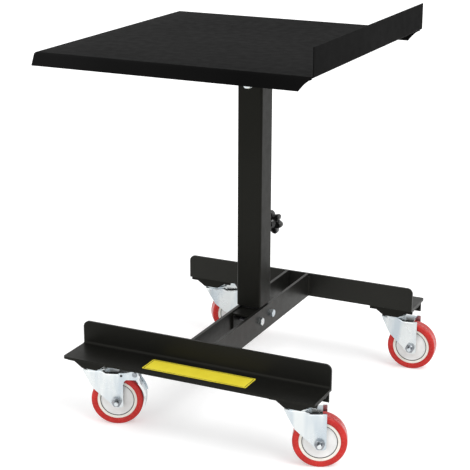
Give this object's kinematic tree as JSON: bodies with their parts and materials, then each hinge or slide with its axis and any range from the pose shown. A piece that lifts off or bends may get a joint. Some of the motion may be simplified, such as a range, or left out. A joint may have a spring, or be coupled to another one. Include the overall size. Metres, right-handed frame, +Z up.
{
  "type": "mobile tilting work table",
  "caption": "Black steel mobile work table: one height-adjustable square post, tilting tray with a lip, angle-steel feet on red swivel casters.",
  "frame": {"origin": "on the floor under the post's axis", "axes": "+X along the legs towards the tray's lip, -Y towards the leg that carries the blank label, +Z up"},
  "size_m": [0.5932, 0.6691, 0.7857],
  "materials": {
    "powder_black": "fine-textured semi-gloss powder coat",
    "post_black": "smooth satin enamel",
    "zinc": "bright zinc plate",
    "tyre_red": "glossy cast polyurethane",
    "core_cream": "satin moulded nylon",
    "guard_grey": "satin moulded plastic",
    "label_yellow": "printed film, blank",
    "plastic_black": "moulded phenolic"
  },
  "bodies": {
    "base": {"front_leg": "powder_black", "rear_leg": "powder_black", "left_rail": "powder_black", "right_rail": "powder_black", "rail_welds": "powder_black", "post_foot": "powder_black", "inner_post": "post_black", "inner_post_cap": "plastic_black", "foot_bolts": "zinc", "foot_nuts": "zinc", "blank_label": "label_yellow", "plate_front_right": "powder_black", "plate_front_left": "powder_black", "plate_rear_right": "powder_black", "plate_rear_left": "powder_black", "caster_screws": "zinc", "kingpins": "zinc"},
    "column": {"outer_post": "powder_black", "stud_boss": "powder_black", "lower_sleeve": "plastic_black", "pivot_bolt": "zinc", "clamp_bolt": "zinc", "pivot_nut": "zinc"},
    "height_knob": {"height_knob": "plastic_black", "height_stud": "zinc"},
    "tray": {"tray": "powder_black", "tilt_saddle": "powder_black"},
    "tilt_knob": {"tilt_knob": "plastic_black"},
    "fork_front_right": {"fork_front_right": "zinc", "race_front_right": "zinc", "axle_front_right": "zinc"},
    "wheel_front_right": {"tyre_front_right": "tyre_red", "core_front_right": "core_cream", "guards_front_right": "guard_grey"},
    "fork_front_left": {"fork_front_left": "zinc", "race_front_left": "zinc", "axle_front_left": "zinc"},
    "wheel_front_left": {"tyre_front_left": "tyre_red", "core_front_left": "core_cream", "guards_front_left": "guard_grey"},
    "pedal_front_left": {"pedal_front_left": "zinc"},
    "fork_rear_right": {"fork_rear_right": "zinc", "race_rear_right": "zinc", "axle_rear_right": "zinc"},
    "wheel_rear_right": {"tyre_rear_right": "tyre_red", "core_rear_right": "core_cream", "guards_rear_right": "guard_grey"},
    "fork_rear_left": {"fork_rear_left": "zinc", "race_rear_left": "zinc", "axle_rear_left": "zinc"},
    "wheel_rear_left": {"tyre_rear_left": "tyre_red", "core_rear_left": "core_cream", "guards_rear_left": "guard_grey"},
    "pedal_rear_left": {"pedal_rear_left": "zinc"}
  },
  "joints": [
    {"name": "post_height", "type": "slide", "parent": "base", "child": "column", "axis": [0, 0, 1], "range_m": [0, 0.254]},
    {"name": "tray_tilt", "type": "hinge", "parent": "column", "child": "tray", "pos_m": [0, 0, 0.689], "axis": [0, 1, 0], "range_deg": [0, 45]},
    {"name": "height_knob_turn", "type": "hinge", "parent": "column", "child": "height_knob", "pos_m": [0, 0.083, 0.341], "axis": [0, 1, 0], "range_deg": [0, 360]},
    {"name": "tilt_knob_turn", "type": "hinge", "parent": "column", "child": "tilt_knob", "pos_m": [0, 0.045, 0.649], "axis": [0, 1, 0], "range_deg": [0, 360]},
    {"name": "swivel_front_right", "type": "hinge", "parent": "base", "child": "fork_front_right", "pos_m": [0.2125, -0.2633, 0.1394], "axis": [0, 0, 1], "continuous": true},
    {"name": "roll_front_right", "type": "hinge", "parent": "fork_front_right", "child": "wheel_front_right", "pos_m": [0.2494, -0.24921, 0.0508], "axis": [-0.3567, 0.9342, 0], "continuous": true},
    {"name": "swivel_front_left", "type": "hinge", "parent": "base", "child": "fork_front_left", "pos_m": [-0.2125, -0.2633, 0.1394], "axis": [0, 0, 1], "continuous": true},
    {"name": "roll_front_left", "type": "hinge", "parent": "fork_front_left", "child": "wheel_front_left", "pos_m": [-0.17619, -0.24774, 0.0508], "axis": [-0.3939, 0.9191, 0], "continuous": true},
    {"name": "brake_front_left", "type": "hinge", "parent": "fork_front_left", "child": "pedal_front_left", "pos_m": [-0.14356, -0.23375, 0.107], "axis": [0.3939, -0.9191, 0], "range_deg": [0, 12]},
    {"name": "swivel_rear_right", "type": "hinge", "parent": "base", "child": "fork_rear_right", "pos_m": [0.2125, 0.2633, 0.1394], "axis": [0, 0, 1], "continuous": true},
    {"name": "roll_rear_right", "type": "hinge", "parent": "fork_rear_right", "child": "wheel_rear_right", "pos_m": [0.25173, 0.26791, 0.0508], "axis": [-0.1167, 0.9932, 0], "continuous": true},
    {"name": "swivel_rear_left", "type": "hinge", "parent": "base", "child": "fork_rear_left", "pos_m": [-0.2125, 0.2633, 0.1394], "axis": [0, 0, 1], "continuous": true},
    {"name": "roll_rear_left", "type": "hinge", "parent": "fork_rear_left", "child": "wheel_rear_left", "pos_m": [-0.18054, 0.28652, 0.0508], "axis": [-0.5878, 0.809, 0], "continuous": true},
    {"name": "brake_rear_left", "type": "hinge", "parent": "fork_rear_left", "child": "pedal_rear_left", "pos_m": [-0.15182, 0.30738, 0.107], "axis": [0.5878, -0.809, 0], "range_deg": [0, 12]}
  ]
}
